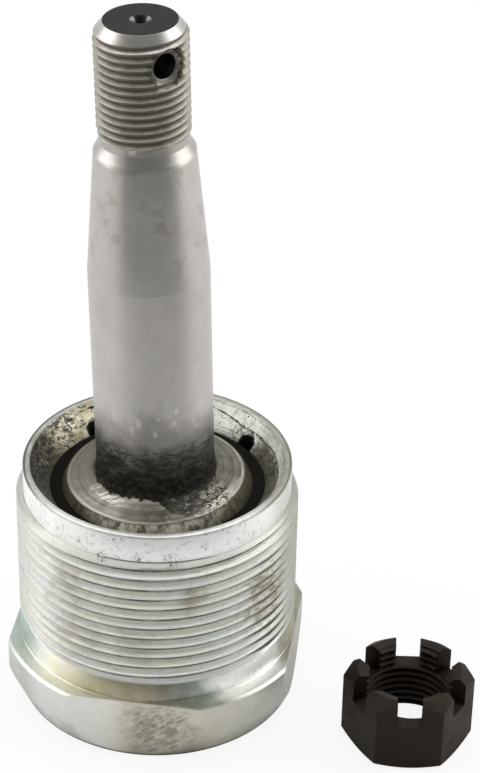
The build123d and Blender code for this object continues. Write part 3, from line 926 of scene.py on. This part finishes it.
# painted light: the front-left flat is lighter
lit_front_left = flange * hump(bearing, -150, -138, -112, -98)
paint(lit_front_left * 0.5, (0.88, 0.885, 0.86))
greased = flange * hump(bearing, -84, -76, -76, -64) * fall(height, 7.5, 9.5)
paint(greased * (thin * 0.3 + 0.2), (0.28, 0.265, 0.2))
handled = flange * hump(bearing, -122, -100, -60, -35)
paint(handled, (1, 0.965, 0.885), "MULTIPLY")
# painted shade: the right side and back are darker, more on the thread than on the flange
right_side_shade = hump(bearing, -44, -18, 60, 110) * (rise(height, 13, 17) * 0.3 + 0.16)
paint(right_side_shade, (0.26, 0.26, 0.21))
shadow_side = thread_zone * hump(bearing, -36, -18, 40, 80) * 0.3
paint(shadow_side, (0.27, 0.27, 0.215))
# painted shade: the front of the flange darkens toward the bottom
low_flange_shade = flange * fall(height, 0.8, 4.2) * between(bearing, -97, -78, 10)
paint(low_flange_shade * 0.4, (0.17, 0.165, 0.12))
# painted shadow: a dark contact line all round the bottom edge where it meets the table
contact_shadow_line = fall(height, 0.6, 1.05) * rise(radius, 24.9, 25)
paint(contact_shadow_line * 0.8, (0.06, 0.06, 0.045))

# film, flecks and cracks inside the mouth, with painted shade on its walls and deeper down, and painted glints at the
# back left
inside = fall(radius, 22.7, 22.95) * rise(height, 40.5, 40.9)
cream = patches(point, 3, 5, 0.46, 0.12)
yellow_side = hump(bearing, 92, 104, 165, 178)
stained, pale = (0.6, 0.55, 0.38), (1, 0.93, 0.72)
paint_mouth = Paint(mix(cream, mix(yellow_side, (0.76, 0.76, 0.67), stained), mix(yellow_side, (1, 1, 0.94), pale)))
front_shade = hump(bearing, -90, -60, 20, 36) * rise(film * 1.5 + height, 45.4, 46.6, 1, 0.25)
shade = rise(bearing, 141, 163) | fall(bearing, -150, -110) | front_shade
behind = rise(bearing, 150, 172) | fall(bearing, -150, -120)
paint_mouth(shade * 0.9, mix(behind, (0.085, 0.074, 0.036), (0.036, 0.03, 0.019)))
# painted shade: darker deeper down in the mouth
deep = fall(film * 3 + height, 43.3, 46)
paint_mouth(deep * 0.8, (0.042, 0.034, 0.017))
swept = stretch(point, (1.7, 1, 0.8), (0, 0, math.radians(20)))
cracks = lines(swept, 2.4, 0.045, 0.5)
high_up = rise(height, 43.5, 46.5, 0.63, 0.575) + rise(bearing, -170, -120) * rise(bearing, 85, 100, 0.06, 0)
fleck = noise(swept, 1.5, 4, Roughness=0.6)
fleck = rise(fleck - high_up, 0, 0.03)
# grease has run along the corner between the two cones of the mouth, and in fine lines beside it
run = (film - 0.5) * 1.2 + rise(bearing, 42, 66, 45.15, 46.2)
off_corner = abs(height - run)
rough_edge = noise(swept, 1.3, 5, Roughness=0.65)
off_corner = (0.5 - rough_edge) * 0.9 + off_corner
seams = fall(off_corner, 0.06, 0.2) * between(bearing, -5, 70, 6)
fine_lines = rise(marks(point, height, 0.3, 0.8), 0.58, 0.64)
fine_lines = fine_lines * patches(point, 4, 6, 0.46, 0.08) * between(bearing, 0, 82, 12) * 0.75
seams = seams | fine_lines
crazed = lines(swept, 1.3, 0.05, 0.44) | patches(swept, 0.9, 5, 0.53, 0.05)
crazed_back = (between(bearing, 140, 178, 14) | fall(bearing, -175, -160)) * rise(height, 42.5, 44)
crazed_front = between(bearing, 0, 44, 8) * rise(height, 45, 45.6, 0.8, 0)
crazed = crazed * (crazed_back | crazed_front) * 0.85
cracks = cracks * (yellow_side * 0.6 + 0.4) | seams * 0.9 | crazed
film_glints = patches(swept, 1.2, 4, 0.6, 0.06)
paint_mouth(film_glints * between(bearing, 132, 168, 10) * 0.6, (0.42, 0.42, 0.36))
paint_mouth(cracks | fleck, (0.014, 0.012, 0.008))
paint(inside * 0.97, paint_mouth.colour)

# painted shade fills the four notches, near-black
past_notch = (calc("WRAP", bearing, 80, -10) - NOTCH_TURN) * (math.pi / 180)
aside = radius * calc("SINE", past_notch)
outward = radius * calc("COSINE", past_notch) - NOTCH_REACH
off_notch = calc("SQRT", aside * aside + outward * outward)
notch_shade = fall(off_notch, 1.8, 2.1) * fall(height, 44, 44.4) * inside
paint(notch_shade * 0.97, (0.008, 0.007, 0.005))

# dirt, stains, the mouth and the painted shade in the roots and notches make the metal duller
grime_and_shade = root_dirt_and_shade | stain | specks | inside | notch_shade
rough = grime_and_shade * 0.3 + (mottle * 0.08 + (grain * 0.08 + 0.3))
gloss = (inside | notch_shade) * -0.2 + 0.25
set_shader(shader, Base_Color=paint.colour, Metallic=grime_and_shade * -0.45 + 0.62, Roughness=rough, Specular_IOR_Level=gloss)
turning = marks(point, height + radius, 0.25, 0.2)
relief(shader, (turning, 0.012, 0.5), (grain, 0.025, 0.5), (scuffs + inside * (cracks | cream), 0.08, 0.5))
print("zinc nodes:", len(zinc.node_tree.nodes))

# %% [markdown]
# ## Ground and turned steel on the stud
#
# The shank is ground, so it is a satin grey with fine rings round it. The end is sawn and left dark, the flat top of
# the ball shows the lathe's circles, and old grease is dragged round the root of the shank. Shade and highlights are
# painted too: in the thread roots, the centre drill and cotter hole, on the point and the step below the thread, and
# on the ball's top, fillet and sphere.
# A Mapping node stands the leaning stud upright first, so that rings stay square to its own axis.

# %% Ground steel
steel, shader, point = finish_material("ground_steel")
back = (-BALL_CENTRE * math.sin(math.radians(LEAN)), 0, BALL_CENTRE * (1 - math.cos(math.radians(LEAN))))
upright = {"Vector": point, "Location": back, "Rotation": (0, math.radians(LEAN), 0)}
point = feed(point.tree, "ShaderNodeMapping", upright)
radius, height, bearing = place_on(point)

rings = marks(point, height, 0.22, 0.25)
cloud = patches(point, 8, 4, 0.5, 0.2)
fine = patches(point, 0.6, 3, 0.5, 0.25)
paint = Paint(mix(cloud, (0.5, 0.48, 0.458), (0.575, 0.553, 0.527)))
paint(rings * 0.25, (0.36, 0.345, 0.32))
# painted shade on the step from the taper down to the thread
paint(between(height, 110.2, 113, 0.4) * 0.4, (0.3, 0.285, 0.265))
paint(fine * 0.1, (0.3, 0.29, 0.27))

# thread: oily dirt and painted shade in the roots
thread_zone = between(height, 113.4, 131.6, 0.3) * rise(radius, 6.5, 6.8)
paint(thread_zone * 0.28, (0.42, 0.4, 0.31))
root = fall(radius, 7.15, 7.5) * thread_zone
paint(root * 0.7, (0.1, 0.09, 0.07))
thread_oil = patches(point, 2.2, 4, 0.52, 0.1)
paint(thread_zone * thread_oil * 0.35, (0.2, 0.17, 0.12))

# sawn end
end = rise(height, 133.05, 133.15) * fall(radius, 6.2, 6.3)
drill = rise(height, 129.5, 129.7) * fall(radius, 1.75, 1.8)
sawn = patches(point, 0.5, 4, 0.5, 0.2)
end_colour = mix(sawn, (0.012, 0.0108, 0.0098), (0.023, 0.021, 0.019))
paint(calc("SUBTRACT", end, drill, clamp=True), end_colour)
# painted shade in the centre drill, with painted light on its walls at left and right
lit_crescents = rise(abs(calc("COSINE", bearing * (math.pi / 180))), 0.55, 0.95)
paint(drill * 0.97, mix(lit_crescents * rise(height, 131.5, 132.6), (0.012, 0.011, 0.009), (0.26, 0.245, 0.225)))
# painted shade on the front of the point chamfer
point_chamfer = rise(height, 130.9, 131.4) * hump(radius, 6.25, 6.35, 7.7, 7.8)
paint(point_chamfer * between(bearing, -112, -66, 22) * 0.75, (0.2, 0.19, 0.175))

# cotter hole: painted shade inside, with painted light on one side of the bore, dull in its countersink, brown where
# the thread is cut through
HOLE_LINE = (math.cos(math.radians(HOLE_TURN)), math.sin(math.radians(HOLE_TURN)), 0)
along_hole = vec("DOT_PRODUCT", point, HOLE_LINE, output="Value")
from_hole = vec("SUBTRACT", point, (0, 0, HOLE_HEIGHT))
off_hole = vec("LENGTH", vec("CROSS_PRODUCT", from_hole, HOLE_LINE), output="Value")
facing = rise(along_hole, 4.5, 5)
bore = (fall(off_hole, HOLE_RADIUS + 0.02, HOLE_RADIUS + 0.08) * fall(radius, 7.3, 7.5)
    * between(height, 124.9, 129.7, 0.1))
sink = between(off_hole, HOLE_RADIUS + 0.08, HOLE_RADIUS + 1.3, 0.08) * facing
paint(sink * (sawn * 0.3 + 0.6), (0.17, 0.16, 0.14))
torn = between(off_hole, HOLE_RADIUS + 0.75, HOLE_RADIUS + 1.5, 0.2) * facing * rise(bearing, -50, -38)
paint(torn * 0.85, (0.05, 0.035, 0.022))
lit_wall = rise(along_hole, 4.9, 5.3)
paint(bore, mix(lit_wall, (0.024, 0.021, 0.018), (0.15, 0.142, 0.125)))

# brown smears on the taper
smear = patches(point, 4, 5, 0.58, 0.06)
paint(smear * between(height, 92, 109, 4) * 0.35, (0.25, 0.23, 0.18))

# ball: turned top with painted highlights and shade, a land with a painted highlight, and a stained sphere with
# painted light at the front
on_top = rise(height, 44.3, 44.38)
flat_top = on_top * rise(radius, 11, 11.5)
circles = marks(point, radius, 0.26, 0.9)
broad = marks(point, radius, 0.9, 0.5)
lit_left_side = fall(bearing, -118, -96) | rise(bearing, 120, 160)
paint_top = Paint(mix(rise(circles, 0.32, 0.68), (0.14, 0.13, 0.108), (0.27, 0.26, 0.225)))
# painted highlight: the turned top is lighter at the front
paint_top(between(bearing, -118, -78, 16) * 0.5, (0.38, 0.365, 0.315))
paint_top(rise(broad, 0.42, 0.6, 0, 0.4), (0.08, 0.074, 0.06))
# painted highlight on the lathe circles at the left
paint_top(lit_left_side * rise(circles, 0.42, 0.55) * 0.5, (0.34, 0.33, 0.285))
film_patch = patches(point, 2.4, 5, 0.5, 0.14)
paint_top(film_patch * 0.5, (0.07, 0.06, 0.042))
# painted highlight: bright streaks on the top just beside the shank, at the front left
highlight_streaks = (between(bearing, -150, -122, 9) * between(radius, 11.2, 12.9, 0.6)
    * rise(noise(stretch(point, (3.4, 0.7, 1)), 1.3, 4), 0.46, 0.6))
paint_top(highlight_streaks * 0.65, (0.6, 0.575, 0.51))
# painted shade: the top is darker at the back and right
at_back = fall(bearing, -165, -140) | rise(bearing, 20, 70)
paint_top(at_back * 0.6, (0.175, 0.165, 0.15))
paint(flat_top, paint_top.colour)
# grease film and painted shade in the fillet round the shank
root_fillet = on_top * hump(radius, 10.58, 10.7, 11.2, 11.9) * fall(height, 48, 48.5)
paint(root_fillet * (film_patch * 0.55 + 0.4), (0.085, 0.08, 0.065))
# painted highlight on the land, widest at the front right and dimmed at the back and right
wide = hump(bearing, -70, -45, -25, -5)
land = on_top * rise(wide * 1.2 + radius, 15.25, 15.45) * fall(radius, 15.75, 15.85)
dull_side = fall(bearing, -168, -146) | rise(bearing, 60, 110)
land = land * (dull_side * -0.7 + 1)
land_highlight_patches = patches(point, 2.4, 4, 0.45, 0.14)
paint(land * (land_highlight_patches * 0.6 + 0.25), (0.46, 0.445, 0.38))
sphere = fall(height, 44.35, 44.6)
ball_stain = patches(stretch(point, (1, 1, 1.8)), 1.3, 8, 0.52, 0.2)
# stains on the sphere, with painted light at the front and painted shade at the sides
ball_front = between(bearing, -125, -62, 22)
ball_colour = mix(ball_stain, (0.05, 0.043, 0.026), mix(ball_front, (0.26, 0.24, 0.17), (0.6, 0.58, 0.48)))
paint(sphere * rise(radius, 10, 10.2), ball_colour)

# oily film, smears and drops low on the shank
shank = fall(radius, 10.9, 11.3)
swirl = noise(point, 0.3, 6, Distortion=0.5)
level = (swirl - 0.5) * 8 + height
drawn = vec("MULTIPLY", point, (1, 1, 0.6))
cloud_far = vec("DISTANCE", drawn, (-0.4, -10.5, 33.8), output="Value")
cloud_share = fall((swirl - 0.5) * 5 + cloud_far, 1.5, 6.5) * 0.6
oil = fall(level, 51, 65.5) | cloud_share
oil = oil * on_top * shank
paint(oil * 0.93, (0.045, 0.04, 0.032))
flattened = stretch(point, (1.9, 1.9, 0.8))
smears = patches(flattened, 1.5, 5, 0.54, 0.1) | lines(flattened, 1.6, 0.06, 0.46)
smears = smears * between(height, 50, 55, 2.5) * shank
paint(smears * 0.8, (0.016, 0.014, 0.01))
DROPS = (((-3.7, -9.9, 60.6), 0.62), ((-2.6, -10.2, 61.8), 0.7), ((0.3, -10.5, 59.7), 0.55), ((0.9, -10.5, 62.8), 0.4),
         ((4.1, -9.7, 63.9), 0.5), ((3.6, -9.9, 61.6), 0.5), ((6.9, -8, 61), 0.4))
drops = 0.0
for centre, reach in DROPS:
    drops = drops | spot(drawn, (*centre[:2], centre[2] * 0.6), reach)
paint(drops * 0.34, (0.72, 0.7, 0.67))

# grease packed round the shank's root, with a clot at the front right. EDGE is how far out and down it
# reaches, by bearing as a share of a turn: least at the left and most at the front right
EDGE = ((0, 0.4), (0.06, 0.5), (0.12, 0.54), (0.18, 0.43), (0.205, 0.41), (0.225, 0.45), (0.25, 0.55), (0.268, 0.72),
    (0.285, 0.93), (0.322, 0.92), (0.345, 0.7), (0.38, 0.62), (0.46, 0.52), (0.52, 0.35), (0.75, 0.2), (1, 0.4))
outline = ramp(bearing * (1 / 360) + 0.5, [(place, (share,) * 3) for place, share in EDGE])
reach = radius - height - (outline * 9 - 39.5)
ragged = noise(point, 1.4, 4, Roughness=0.65)
reach = (ragged - 0.5) * 2.4 + ((swirl - 0.5) * 4 + reach)
grease = fall(reach, -0.15, 0.3) * fall(level, 49.6, 52) * on_top
clot = spot(point, (4.6, -12, 45.4), 4.6) * on_top
woolly = patches(point, 1, 6, 0.5, 0.1)
clot = clot * (woolly * 0.7 + 0.1)
loose = rise(radius, 10.7, 11.5) * hump(bearing, -84, -70, 60, 150)
grease = grease * (1 - loose * (0.8 - woolly * 0.62))
strands = lines(point, 1.5, 0.05, 0.44) * spot(point, (9, -8.5, 45.5), 6) * on_top
grease = grease | clot | strands
grease_colour = mix(woolly, (0.006, 0.005, 0.0035), (0.026, 0.022, 0.015))
shader.inputs["Specular IOR Level"].default_value = 0.2
paint(grease, grease_colour)

dark = root * 0.5 | end | grease | oil * 0.3 | drops * 0.8 | sphere * (1 - ball_stain) * 0.8
rough = dark * 0.25 + (rings * 0.12 + (cloud * 0.06 + 0.26))
set_shader(shader, Base_Color=paint.colour, Metallic=dark * -0.75 + 1, Roughness=rough)
relief(shader, (rings, 0.01, 0.5), (flat_top * circles, 0.03, 0.6), (grease * woolly, 0.4, 0.8))
print("steel nodes:", len(steel.node_tree.nodes))

# %% [markdown]
# ## Black oxide, races, springs and rubber
#
# The nut and the lock screws are blackened: a thin dark-brown oxide on forged steel, lighter where edges
# rub. The races are moulded black polymer, the springs and washer phosphated grey steel, and the O-ring
# plain nitrile rubber. They share the same effects with other values.

# %% Dark finishes
def dark_finish(name, low, high, size, metal, rough_low, rough_high, bump, sheen=0.5, edge=1.0):
    """A mottled dark finish from two colours; size is its mottle in mm, edge its brightness at grazing angles."""
    made, shader, point = finish_material(name)
    cloud = patches(point, size, 4, 0.5, 0.15)
    pore = patches(point, 0.35, 3, 0.5, 0.2)
    paint = Paint(mix(cloud, low, high))
    paint(pore * 0.3, [c * 0.6 for c in low])
    set_shader(shader, Base_Color=paint.colour, Roughness=rise(cloud, 0, 1, rough_low, rough_high))
    shader.inputs["Metallic"].default_value = metal
    shader.inputs["Specular IOR Level"].default_value = sheen
    shader.inputs["Specular Tint"].default_value = (edge, edge * 0.97, edge * 0.94, 1)
    relief(shader, (pore, bump, 0.5), (cloud, bump * 2, 0.3))
    return made


DARK_FINISHES = {
    "black_oxide": ((0.027, 0.0225, 0.0195), (0.039, 0.031, 0.025), 4, 1, 0.5, 0.62, 0.02, 0.5, 0.95),
    "race_polymer": ((0.004, 0.0034, 0.0026), (0.01, 0.0083, 0.006), 1.5, 0, 0.6, 0.75, 0.02, 0.05),
    "phosphated_spring": ((0.2, 0.19, 0.175), (0.3, 0.285, 0.26), 3, 0.9, 0.4, 0.55, 0.015),
    "nitrile_rubber": ((0.018, 0.018, 0.018), (0.03, 0.03, 0.03), 2, 0, 0.5, 0.65, 0.01),
    "cap_zinc": ((0.58, 0.59, 0.56), (0.72, 0.72, 0.69), 6, 1, 0.28, 0.4, 0.012),
}
oxide, race_black, spring_grey, rubber_black, cap_zinc = (
    dark_finish(name, *values) for name, values in DARK_FINISHES.items())
print("dark finishes:", *DARK_FINISHES)

# %% Dressing the pieces
for piece, coat in ((housing, zinc), (stud, steel), (nut, oxide)):
    piece.data.materials.clear()
    piece.data.materials.append(coat)
    piece.data.polygons.foreach_set("material_index", [0] * len(piece.data.polygons))
COATS = {
    "upper_race": race_black, "lower_race": race_black, "thrust_washer": spring_grey, "disc_spring_lower": spring_grey,
    "disc_spring_upper": spring_grey, "end_cap": cap_zinc, "cap_o_ring": rubber_black, "cap_lock_screws": oxide,
    "grease_plug": cap_zinc,
}
for node, coat in COATS.items():
    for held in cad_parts[node].material_slots:
        held.material = coat
print("carried-over nodes dressed:", len(COATS))


# %% [markdown]
# ## Taking their places
#
# Three turned pieces stand for plain CAD nodes. Each rides on the body that carries its node, so it
# follows the stud's swivel and tilt or the nut's lift.

# %% Bodies
for piece, node, body, slot, name in (
    (housing, "housing", "housing", "zinc_plate", "threaded_housing"),
    (stud, "ball_stud", "stud", "ground_steel", "threaded_stud"),
    (nut, "castle_nut", "nut", "black_oxide", "threaded_nut"),
):
    piece.name = name
    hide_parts(node)
    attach(piece, body)
print("pieces in place")
